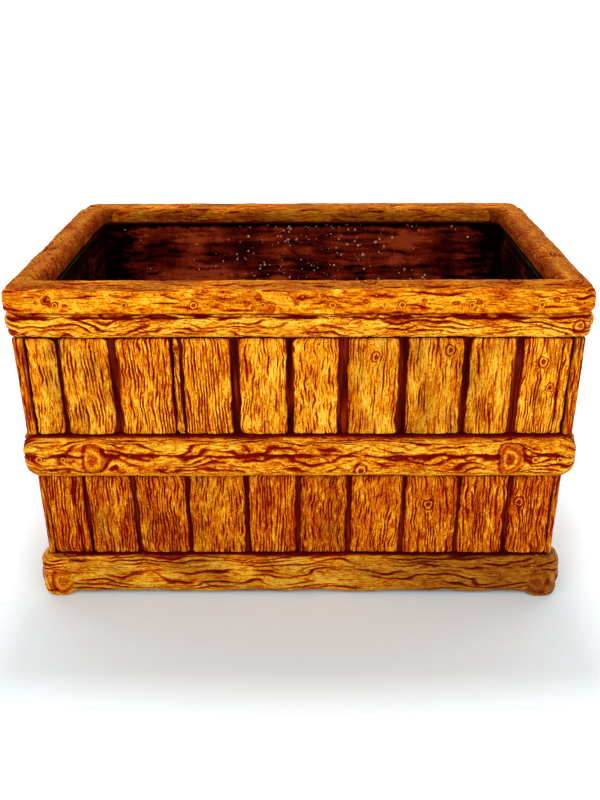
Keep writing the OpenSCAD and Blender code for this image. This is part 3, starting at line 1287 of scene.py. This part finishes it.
@dataclass
class BoardRow:
    """The boards of one tier on one side."""

    face: Face
    tier: Tier
    step: float
    seed: int
    knots: dict[int, tuple[Knot, ...]] = field(default_factory=dict)
    splits: dict[int, tuple[float, ...]] = field(default_factory=dict)
    sliver_after: int = 0

    CORNERS = (1.5, 2.5, 4.0, 7.0)
    CORNER_SHARES = (0.4, 0.3, 0.2, 0.1)
    OWN_NODES = 10

    def runs(self, node: str) -> list[tuple[tuple[float, float], tuple[float, float]]]:
        """Read each board's edges from the frame.

        Args:
            node: The node with the boards.

        Returns:
            For each board, its left and right edge at the bottom and at the top.
        """
        run, z, _ = self.face.local(node).T
        found = []
        for level in (z.min(), z.max()):
            edges = sorted(set(np.round(run[np.abs(z - level) < 0.05], 1)))
            kept = [e for k, e in enumerate(edges) if k == 0 or e - edges[k - 1] > 0.35]
            found.append(list(zip(kept[::2], kept[1::2])))
        return list(zip(*found))

    def board(self, mesher: Mesher, node: str, edges: tuple, seed: int, knots: tuple[Knot, ...],
              splits: tuple[float, ...] = (), thin: float = 1.0) -> None:
        """Add one board to a mesh.

        Args:
            mesher: The mesh being gathered.
            node: The node that holds the board.
            edges: Its edges at the bottom and top.
            seed: Seed of its grain.
            knots: Its knots, placed from its lower middle.
            splits: Deep grooves along it, placed from its middle.
            thin: Share of the row's thickness that it has.
        """
        _, z, out = self.face.local(node).T
        low, high, depth = z.min(), z.max(), out.max() * thin
        (l0, r0), (l1, r1) = edges
        width, tall = (r0 + r1 - l0 - l1) / 2, high - low
        rng = np.random.default_rng(seed)
        st = Stations.along(tall, width, depth, self.step, 5.0)
        for distance in st.from_ends:
            st.face = st.face - round_off(distance, rng.uniform(2.4, 3.6))
            st.low = st.low + round_off(distance, rng.choice(self.CORNERS, p=self.CORNER_SHARES))
            st.high = st.high - round_off(distance, rng.choice(self.CORNERS, p=self.CORNER_SHARES))
        st.face = st.face + rng.uniform(-0.7, 0.1) + rng.uniform(-0.5, 0.3) * st.s / tall
        upper = self.tier is Tier.UPPER
        grain = Grain(seed, pitch=rng.uniform(2.5, 3.5), length=rng.uniform(17, 40),
                      wander=rng.uniform(0.8, 1.5), depth=rng.uniform(0.8, 1.2), crown=0.25, fibre=0.3,
                      pits=0.9, slant=rng.uniform(-0.05, 0.05),
                      fullness=rng.uniform(-0.08, 0.10) + (0.0 if upper else 0.06),
                      knots=knots, splits=splits)
        outline = Outline(depth, width, min(3.0, width / 3), 0.6, self.step, 5.0)
        # Random wear, plus painted shade: the back and short sides get extra wear, which makes them duller.
        wear = self.face.side.pick(0.2, 0.5, 0.35) + 0.25 * rng.uniform(-1, 1)
        loaf = Loaf(outline, st, grain, stain=3.2, stain_from=depth - 4.0, wear=wear, low_wave=1.7,
                    high_wave=1.7, wave_length=22.0, swell=0.8)
        pull = 0.9 if upper else -0.5
        if width < 12:
            pull = 0.0
        st.low, st.high = st.low + pull, st.high - pull
        centre = ((l0 + r0) / 2, (l1 + r1) / 2)
        wide = ((r0 - l0) / width, (r1 - l1) / width)

        def place(s: np.ndarray, o: np.ndarray, a: np.ndarray) -> np.ndarray:
            """Up the board, out from the trough, across the board.

            Args:
                s: Place along the piece.
                o: Place out from its hidden face.
                a: Place across it.

            Returns:
                Points with x, y and z last.
            """
            w = s / tall
            run = centre[0] + (centre[1] - centre[0]) * w + a * (wide[0] + (wide[1] - wide[0]) * w)
            return self.face.place(run, low + s, o)

        loaf.lay(mesher, place)

    def build(self) -> list[tuple[bpy.types.Object, tuple[str, ...]]]:
        """Make the row.

        Returns:
            Each piece with the nodes it stands for.
        """
        word = self.face.side.word
        made = []
        if self.face.side is Side.FRONT:
            for k in range(1, self.OWN_NODES + 1):
                node = f"{word}_{self.tier.value}_board_{k}"
                mesher = Mesher(2 if k == self.sliver_after else 1)
                edges = self.runs(node)[0]
                self.board(mesher, node, edges, self.seed + k, self.knots.get(k, ()), self.splits.get(k, ()))
                if k == self.sliver_after:
                    beside = tuple((right + 2.2, right + 7.0) for _, right in edges)
                    knots = (Knot(90, 0, 3.2, 0.8, 1, 0.3),)
                    self.board(mesher, node, beside, self.seed + 50, knots, thin=0.6)
                made.append((mesher.build(f"{node}_piece"), (node,)))
        else:
            node = f"{word}_{self.tier.value}_boards"
            runs = self.runs(node)
            mesher = Mesher(len(runs))
            for k, edges in enumerate(runs, 1):
                self.board(mesher, node, edges, self.seed + k, self.knots.get(k, ()))
            made.append((mesher.build(f"{node}_piece"), (node,)))
        return made


@dataclass
class CornerPosts:
    """The slim posts behind the ends of the boards, one at each corner."""

    tier: Tier
    seed: int

    def build(self) -> bpy.types.Object:
        """Make the four posts of one tier.

        Returns:
            The posts' mesh object.
        """
        name = f"corner_posts_{self.tier.value}"
        mesher = Mesher(4)
        points = vertices(name)
        for k, (sx, sy) in enumerate(((-1, -1), (1, -1), (-1, 1), (1, 1))):
            own = points[(np.sign(points[:, 0]) == sx) & (np.sign(points[:, 1]) == sy)]
            low, high = own[:, 2].min(), own[:, 2].max()
            at_low = own[np.abs(own[:, 2] - low) < 0.05]
            at_high = own[np.abs(own[:, 2] - high) < 0.05]
            c0, c1 = (end[:, :2].min(0) + np.ptp(end[:, :2], 0) / 2 for end in (at_low, at_high))
            size = np.ptp(at_low[:, :2], 0)
            st = Stations.along(high - low, size[0], size[1], 1.0, 2.0)
            for distance in st.from_ends:
                st.face = st.face - round_off(distance, 1.2)
            outline = Outline(size[1], size[0], 2.0, 0.5, 0.9, 2.0)
            grain = Grain(self.seed + k, pitch=3.2, length=30, wander=1.2, depth=0.6)
            loaf = Loaf(outline, st, grain, stain=3.0, stain_from=1.0, wear=0.4, low_wave=0.2, high_wave=0.2)

            def place(s: np.ndarray, o: np.ndarray, a: np.ndarray) -> np.ndarray:
                """Up the post, out towards the corner's front or back, across it.

                Args:
                    s: Place along the piece.
                    o: Place out from its hidden face.
                    a: Place across it.

                Returns:
                    Points with x, y and z last.
                """
                w = s / (high - low)
                x = c0[0] + (c1[0] - c0[0]) * w + a
                y = c0[1] + (c1[1] - c0[1]) * w + sy * (o - size[1] / 2)
                x, y, z = np.broadcast_arrays(x, y, low + s)
                return np.stack([x, y, z], -1)

            loaf.lay(mesher, place)
        return mesher.build(f"{name}_piece")


@dataclass
class Foot:
    """A rounded boss that wraps one bottom corner."""

    ends: tuple[int, int]
    seed: int
    step: float
    knot_radius: float = 11.0
    wear: float = 0.4
    bend: float = 14.0
    thick: float = 13.5
    end_radius: float = 15.0

    @property
    def name(self) -> str:
        """The node's name."""
        return f"foot_{'front' if self.ends[1] < 0 else 'back'}_{'left' if self.ends[0] < 0 else 'right'}"

    def build(self) -> bpy.types.Object:
        """Make the foot.

        Returns:
            The foot's mesh object.
        """
        x, y, z = vertices(self.name).T
        reach_x, reach_y = np.abs(x).max(), np.abs(y).max()
        leg = np.ptp(x)
        tall = z.max() - z.min()
        straight = leg - self.bend
        arc = self.bend * math.pi / 2
        total = 2 * straight + arc
        st = Stations.along(total, tall, self.thick, self.step, self.end_radius)
        for distance in st.from_ends:
            st.face = st.face - 5.5 * (1 - ease(0, 17.0, distance))
            st.high = st.high - round_off(distance, self.end_radius)
            st.low = st.low + round_off(distance, self.end_radius)
        knots = tuple(Knot(at, -3.0, self.knot_radius, 1.4, 1.8, 0.12, 0.5) for at in (16.0, total - 16.0))
        grain = Grain(self.seed, pitch=6.0, length=30.0, wander=1.8, depth=1.4, crown=0.5, fibre=0.3,
                      pits=0.5, knots=knots)
        outline = Outline(self.thick, tall, 9.0, 1.0, self.step, 4.0)
        loaf = Loaf(outline, st, grain, stain=4.0, stain_from=self.thick - 12, wear=self.wear, low_wave=0.2,
                    high_wave=0.8, wave_length=20.0, swell=1.4)

        def place(s: np.ndarray, o: np.ndarray, a: np.ndarray) -> np.ndarray:
            """Round the corner, out from its inside, up the foot.

            Args:
                s: Place along the piece.
                o: Place out from its hidden face.
                a: Place across it.

            Returns:
                Points with x, y and z last.
            """
            s, o, a = np.broadcast_arrays(s, o, a)
            turn = np.clip((s - straight) / self.bend, 0, math.pi / 2)
            before, after = np.minimum(s - straight, 0), np.maximum(s - straight - arc, 0)
            depth = self.bend - self.thick + o
            px = reach_x - self.bend + np.sin(turn) * depth + before
            py = reach_y - self.bend + np.cos(turn) * depth - after
            return np.stack([self.ends[0] * px, self.ends[1] * py, z.min() + tall / 2 + a], -1)

        mesher = Mesher()
        loaf.lay(mesher, place)
        return mesher.build(f"{self.name}_piece")


@dataclass
class Wall:
    """One wall of the trough, smeared with glaze on its inner face."""

    face: Face
    seed: int
    step: float = 2.4
    painted_shade: float = 0.0

    @property
    def name(self) -> str:
        """The node's name."""
        return f"wall_{self.face.side.word}"

    def build(self) -> bpy.types.Object:
        """Make the wall.

        Returns:
            The wall's mesh object.
        """
        run, z, out = self.face.local(self.name).T
        low, high, thick = z.min(), z.max(), -out.min()
        half = np.abs(run[np.abs(z - high) < 0.1]).max()
        st = Stations.along(2 * half, high - low, thick, self.step, 2.0)
        outline = Outline(thick, high - low, 0.6, 0.6, self.step, 12.0)
        grain = Grain(self.seed, pitch=11.0, length=40.0, wander=1.0, depth=0.35, crown=0.15, fibre=0.1,
                      pits=0.25)
        # The inner face gets painted shade: a dark band under the rim and dark ends in the corners.
        loaf = Loaf(outline, st, grain, stain=1.0, stain_from=-3.0, wear=0.0, low_wave=0.0, high_wave=0.0,
                    back_wear=2.0, edge_shade=9.0, end_shade=85.0, painted_shade=self.painted_shade)
        slope = self.face.slope

        def place(s: np.ndarray, o: np.ndarray, a: np.ndarray) -> np.ndarray:
            """Along the wall, inwards from its outer face, up the wall."""
            up = (low + high) / 2 + a
            return self.face.place((s - half) * (1 - slope * (high - up) / half), up, -o)

        mesher = Mesher()
        loaf.lay(mesher, place)
        return mesher.build(f"{self.name}_piece")


@dataclass
class Nails:
    """Round-headed nails with a ring and a dot pressed into each."""

    turns: int = 28
    head_radius: float = 4.1
    proud: float = 0.9
    proud_on_rail: float = 4.5
    profile: tuple[tuple[float, float, float], ...] = (
        (0.5, 0.72, 0.5), (0.85, 0.40, 0.3), (1.4, 0.30, 0.25), (2.0, 0.62, 0.65), (2.6, 0.88, 0.85),
        (3.2, 0.74, 0.7), (3.7, 0.35, 0.3), (4.0, -0.4, 0.1), (4.1, -3.0, 0.0),
    )

    NODE = "nail_heads"

    def heads(self) -> list[np.ndarray]:
        """Sort the node's points by head.

        Returns:
            The points of each head.
        """
        heads: list[list[np.ndarray]] = []
        for point in vertices(self.NODE):
            own = [head for head in heads if np.abs(point - head[0]).max() < 2.5 * self.head_radius]
            if own:
                own[0].append(point)
            else:
                heads.append([point])
        return [np.array(head) for head in heads]

    def nail(self, mesher: Mesher, points: np.ndarray, k: int) -> None:
        """Add one nail's head.

        Args:
            mesher: The mesh being gathered.
            points: The frame's points for it.
            k: Its number, which settles its size and its wobble.
        """
        middle = (points.min(0) + points.max(0)) / 2
        axis = int(np.argmin(np.ptp(points, 0)[:2]))
        way = np.zeros(3)
        way[axis] = np.sign(middle[axis])
        lift = self.proud_on_rail if middle[2] < 200 else self.proud
        base = middle.copy()
        base[axis] = way[axis] * (np.abs(points[:, axis]).max() - 0.8 + lift)
        right = np.array([0.0, 0.0, 1.0])
        up = np.cross(way, right)
        angle = np.linspace(0, 2 * np.pi, self.turns, endpoint=False)
        wobble = 1 + 0.05 * np.cos(2 * angle + k)
        around = np.cos(angle)[:, None] * right + np.sin(angle)[:, None] * up
        size = 0.78 + 0.11 * (k % 3)
        rings, tone, radius = [], [], []
        for distance, rise, shade in self.profile:
            rings.append(base + way * rise + distance * size * wobble[:, None] * around)
            tone.append(np.full(self.turns, shade))
            radius.append(np.full(self.turns, distance * size))
        grid = np.array(rings)
        layout = grid.shape[:2]
        walk = np.stack([np.array(radius), np.broadcast_to(angle * 3, layout), np.full(layout, 5.0 * k)], -1)
        mesher.skin(grid, np.array(tone), np.full(layout, 0.25), walk)

    def build(self) -> bpy.types.Object:
        """Make all the nails.

        Returns:
            The nails' mesh object.
        """
        heads = self.heads()
        mesher = Mesher(len(heads))
        for k, points in enumerate(heads):
            self.nail(mesher, points, k)
        return mesher.build("nails_piece")


@dataclass
class Grit:
    """Crumbs of grit stuck to the back wall and lying on the floor of the trough."""

    face: Face
    seed: int = 77
    on_wall: int = 220
    on_floor: int = 60
    bedded: float = -14.4
    drain_keep_out: float = 18.0

    SIZES = (0.7, 1.0, 1.4, 2.0)
    SIZE_SHARES = (0.35, 0.35, 0.22, 0.08)

    def crumb(self, mesher: Mesher, centre: np.ndarray, size: float, rng: np.random.Generator) -> None:
        """Add one lumpy crumb.

        Args:
            mesher: The mesh being gathered.
            centre: Its middle.
            size: Its radius.
            rng: The source of its shape.
        """
        rows, cols = 7, 10
        polar = np.linspace(0.25, np.pi - 0.25, rows)[:, None]
        angle = np.linspace(0, 2 * np.pi, cols, endpoint=False)[None]
        ball = np.stack([np.sin(polar) * np.cos(angle), np.sin(polar) * np.sin(angle),
                         np.cos(polar) + 0 * angle], -1)
        bumps = 1 + rng.uniform(-0.22, 0.22, (rows, cols, 1))
        stretch = rng.uniform(0.6, 1.2, 3)
        turn, _ = np.linalg.qr(rng.normal(size=(3, 3)))
        points = centre + size * (ball * bumps * stretch) @ turn
        plain = np.full((rows, cols), 0.7)
        mesher.skin(points, plain, plain, points)

    def build(self) -> bpy.types.Object:
        """Make the crumbs.

        Returns:
            The crumbs' mesh object.
        """
        rng = np.random.default_rng(self.seed)
        mesher = Mesher(self.on_wall + self.on_floor)
        slab_low, slab_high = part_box("floor_slab")
        for _ in range(self.on_wall):
            run, z = rng.normal(-10, 85), 318 - 120 * rng.uniform(0, 1) ** 1.3
            run = float(np.clip(run, -225, 225))
            centre = self.face.place(np.array(run), np.array(z), np.array(self.bedded))
            self.crumb(mesher, centre, rng.choice(self.SIZES, p=self.SIZE_SHARES), rng)
        for _ in range(self.on_floor):
            x = rng.uniform(slab_low.x / MM + 20, slab_high.x / MM - 20)
            y = rng.uniform(slab_low.y / MM + 20, slab_high.y / MM - 20)
            if math.hypot(x, y) < self.drain_keep_out:
                x += 40
            size = rng.uniform(0.8, 2.4)
            self.crumb(mesher, np.array([x, y, slab_high.z / MM + 0.5 * size]), size, rng)
        return mesher.build("grit_crumbs")


class Planter:
    """The whole planter, piece by piece.

    A knot's numbers are its place along and across the piece, its radius, its rise, its rings, its hole and
    how strongly it is marked.
    """

    def __init__(self, finishes: Finishes) -> None:
        """Measure the four sides."""
        self.finishes = finishes
        self.faces = {side: Face.of(side) for side in Side}

    def rim(self) -> None:
        """Lay the four rim logs."""
        knots = {
            Side.FRONT: (Knot(68, -3, 6.0, 0.5, 1.5, 0.1), Knot(204, -5, 5.5, 0.5, 1.5, 0.1),
                         Knot(-232, 20, 3.4, 0.3, 1, 0.6), Knot(262, -2, 5, 0.5, 1.5, 0.1)),
            Side.BACK: (Knot(-120, 2, 6, 0.5, 1.5), Knot(150, -3, 5, 0.4, 1.5)),
            Side.LEFT: (Knot(40, 3, 6, 0.5, 1.5),),
            Side.RIGHT: (Knot(-70, 2, 6, 0.5, 1.5),),
        }
        # Small worm holes along the outer faces.
        rng = np.random.default_rng(19)
        for side, count in ((Side.FRONT, 20), (Side.LEFT, 6), (Side.RIGHT, 6), (Side.BACK, 10)):
            reach = 262 if side.long else 150
            holes = (Knot(rng.uniform(-reach, reach), rng.uniform(15, 29), rng.uniform(1.4, 2.5),
                          rise=0.15, rings=0.5, hole=0.2, mark=0.65) for _ in range(count))
            knots[side] = (*knots[side], *holes)
        for side, face in self.faces.items():
            log = RimLog(face, 11 + side.value, 0.75 if side is Side.FRONT else 0.9, knots[side],
                         wear=side.pick(0.02, 0.65, 0.9), slant=0.0 if side.long else 0.9,
                         sway=1.3 if side.long else 2.2, rise=side.pick(4.6, 1.5, 3.0),
                         under=side.pick(2.0, 6.0, 6.0), inward=side.pick(9.0, 4.0, -4.5))
            dress(log.build(), self.finishes.rim, (log.name,))

    def rails(self) -> None:
        """Lay the three tiers of rails."""
        knots = {
            (Tier.UPPER, Side.FRONT): (Knot(262, 1, 4.5, 0.4, 1.5, 0.1),),
            (Tier.MID, Side.FRONT): (Knot(-206, 0, 9.5, 1.3, 1.6, 0.12, 0.7),
                                     Knot(208, 0, 10.5, 1.5, 2.0, 0.16, 0.85),
                                     Knot(62, -9, 4.5, 0.6, 1.3, 0.25)),
            (Tier.MID, Side.BACK): (Knot(-120, 2, 11, 1.3, 2.4, 0.14), Knot(160, -3, 9, 1.2, 2.2, 0.14)),
            (Tier.MID, Side.LEFT): (Knot(60, 1, 10, 1.3, 2.3, 0.14),),
            (Tier.MID, Side.RIGHT): (Knot(-50, -2, 11, 1.3, 2.3, 0.14),),
            (Tier.BASE, Side.BACK): (Knot(70, 0, 9, 1.2, 2.3, 0.14),),
        }
        for side, face in self.faces.items():
            step = 0.72 if side is Side.FRONT else 1.0
            # Painted shade: the back and short sides get extra wear, which makes them duller.
            painted_side_shade = side.pick(0.0, 0.3, 0.12)
            upper = Rail(face, Tier.UPPER, 31 + side.value, step, knots.get((Tier.UPPER, side), ()),
                         face_radius=6.0, pitch=5.4, length=38, depth=2.0, wander=2.6, splits=(8.5,),
                         wave=0.9, swell=4.0, wear=0.15 + painted_side_shade, bold=0.85, fullness=0.10, stain_from=3.0)
            mid = Rail(face, Tier.MID, 41 + side.value, step, knots.get((Tier.MID, side), ()),
                       face_radius=12.5, end_face=9.0, end_side=17.0, pitch=4.6, length=36, depth=1.5,
                       wander=2.2, wave=1.3, swell=4.0, splits=(2.0,), tuck=2.5 if side.long else 0.0,
                       stain_from=8.0, wear=0.2 + painted_side_shade, bold=0.85, fullness=0.12)
            base = Rail(face, Tier.BASE, 51 + side.value, step, knots.get((Tier.BASE, side), ()),
                        face_radius=7.0, pitch=5.8, length=48, depth=1.2, wander=2.2, wear=0.30 + painted_side_shade,
                        bold=0.9, fullness=0.03, wave=1.9, swell=2.0, tuck=13.0, stain_from=5.5,
                        end_wear=0.45 if side is Side.FRONT else 0.1, wave_length=42.0)
            dress(upper.build(), self.finishes.rail, (upper.name,))
            dress(mid.build(), self.finishes.board, (mid.name,))
            dress(base.build(), self.finishes.base, (base.name,))

    def boards(self) -> None:
        """Stand the two tiers of boards."""
        knots = {
            Tier.UPPER: {7: (Knot(82, 2, 4.2, 0.5, 1.3, 0.25),), 8: (Knot(90, 14, 4.4, 0.5, 1.3, 0.25),),
                         10: (Knot(78, -4, 4.4, 0.5, 1.3, 0.25), Knot(50, 6, 3.6, 0.4, 1.2, 0.3))},
            Tier.LOWER: {8: (Knot(60, -3, 4.6, 0.6, 1.4, 0.25),), 10: (Knot(62, -12, 4.2, 0.5, 1.3, 0.25),)},
        }
        splits = {Tier.UPPER: {10: (14.0,)}, Tier.LOWER: {1: (9.0,)}}
        sliver_after = {Tier.UPPER: 3, Tier.LOWER: 0}
        finish = {Tier.UPPER: self.finishes.board, Tier.LOWER: self.finishes.low_board}
        for side, face in self.faces.items():
            for tier, seed in ((Tier.UPPER, 100), (Tier.LOWER, 140)):
                row = BoardRow(face, tier, 0.62 if side is Side.FRONT else 0.95, seed + 200 * side.value,
                               {3: (Knot(60, 4, 4.5, 0.6, 1.4, 0.25),)})
                if side is Side.FRONT:
                    row.knots, row.splits, row.sliver_after = knots[tier], splits[tier], sliver_after[tier]
                for piece, nodes in row.build():
                    dress(piece, finish[tier], nodes)
        for tier, seed in ((Tier.UPPER, 900), (Tier.LOWER, 920)):
            posts = CornerPosts(tier, seed)
            dress(posts.build(), self.finishes.low_board, (f"corner_posts_{tier.value}",))

    def feet(self) -> None:
        """Set the four feet."""
        for k, ends in enumerate(((-1, -1), (1, -1), (-1, 1), (1, 1))):
            foot = Foot(ends, 61 + k, 0.75, wear=0.8 if ends[0] > 0 else 0.2)
            dress(foot.build(), self.finishes.base, (foot.name,))

    def trough(self) -> None:
        """Line the trough and scatter the grit."""
        for side, face in self.faces.items():
            # The short walls are darkened all over as painted shade.
            wall = Wall(face, 71 + side.value, painted_shade=0.0 if side.long else 0.9)
            dress(wall.build(), self.finishes.trough, (wall.name,))
        slab = frame["nodes"]["floor_slab"]
        slab.data.materials.clear()
        slab.data.materials.append(self.finishes.trough)
        LOG.info("floor_slab: kept from the frame, glazed")
        dress(Grit(self.faces[Side.BACK]).build(), self.finishes.grit, ())

    def nails(self) -> None:
        """Drive the nails."""
        dress(Nails().build(), self.finishes.rail, (Nails.NODE,))


@dataclass
class Studio:
    """Pale sheet, soft lights and the camera."""

    lens: float = 42.75
    place: tuple[float, float, float] = (0.0103, -1.0335, 0.5991)
    pitch: float = 23.67
    yaw: float = -0.60
    roll: float = 0.29
    bend: float = 6.0
    sheet_ahead: float = 30.0
    sheet_top: float = 30.0
    sheet_side: float = 40.0
    sky: float = 0.30

    def camera(self) -> None:
        """Set the camera down, looking at the box."""
        ya, pi, ro = (math.radians(a) for a in (self.yaw, self.pitch, self.roll))
        forward = Vector((math.sin(ya) * math.cos(pi), math.cos(ya) * math.cos(pi), -math.sin(pi)))
        right = Vector((math.cos(ya), -math.sin(ya), 0))
        down = forward.cross(right)
        tilted = right * math.cos(ro) + down * math.sin(ro)
        below = -right * math.sin(ro) + down * math.cos(ro)
        axes = Matrix((tilted, -below, -forward)).transposed()
        data = bpy.data.cameras.new("camera")
        data.lens, data.sensor_width, data.clip_end = self.lens, 36.0, 100.0
        camera = bpy.data.objects.new("camera", data)
        camera.matrix_world = Matrix.Translation(self.place) @ axes.to_4x4()
        bpy.context.scene.collection.objects.link(camera)
        bpy.context.scene.camera = camera

    def light(self, name: str, place: tuple, aim: tuple, size: float, power: float) -> None:
        """Hang one soft white light.

        Args:
            name: Its name.
            place: Where it hangs.
            aim: What it points at.
            size: Its side.
            power: Its power in watts.
        """
        data = bpy.data.lights.new(name, "AREA")
        data.shape, data.size, data.energy = "SQUARE", size, power
        lamp = bpy.data.objects.new(name, data)
        lamp.location = place
        lamp.rotation_euler = (Vector(aim) - Vector(place)).to_track_quat("-Z", "Y").to_euler()
        bpy.context.scene.collection.objects.link(lamp)

    def sheet(self) -> None:
        """Lay the pale sheet that curves up behind the box."""
        rows = [(-self.sheet_ahead, 0.0)]
        for k in range(25):
            angle = math.radians(90 * k / 24)
            rows.append((self.bend + self.bend * math.sin(angle), self.bend - self.bend * math.cos(angle)))
        rows.append((2 * self.bend, self.sheet_top))
        points = [(x, y, z) for y, z in rows for x in (-self.sheet_side, self.sheet_side)]
        faces = [(2 * k, 2 * k + 1, 2 * k + 3, 2 * k + 2) for k in range(len(rows) - 1)]
        mesh = bpy.data.meshes.new("studio_sheet")
        mesh.from_pydata(points, [], faces)
        mesh.materials.append(StudioSheet().make())
        sheet = bpy.data.objects.new("studio_sheet", mesh)
        bpy.context.scene.collection.objects.link(sheet)

    def build(self) -> None:
        """Set up the whole studio."""
        self.camera()
        self.sheet()
        self.light("back_top", (0.0, 0.92, 2.65), (0, -0.1, 0), 0.65, 46)
        self.light("front_left", (-1.3, -2.1, 2.0), (0, -0.1, 0.12), 1.4, 29)
        self.light("front_right", (1.4, -2.2, 1.7), (0, -0.1, 0.12), 1.4, 21)
        world = bpy.data.worlds.new("studio")
        bpy.context.scene.world = world
        world.use_nodes = True
        background = world.node_tree.nodes["Background"]
        background.inputs["Color"].default_value = (1, 1, 1, 1)
        background.inputs["Strength"].default_value = self.sky
        bpy.context.scene.view_settings.view_transform = "Standard"


def main() -> None:
    """Build the studio and every piece."""
    logging.basicConfig(level=logging.INFO, format="%(name)s %(message)s")
    Studio().build()
    planter = Planter(Finishes())
    planter.rim()
    planter.rails()
    planter.boards()
    planter.feet()
    planter.trough()
    planter.nails()
    bpy.context.view_layer.update()


if __name__ == "__main__":
    main()
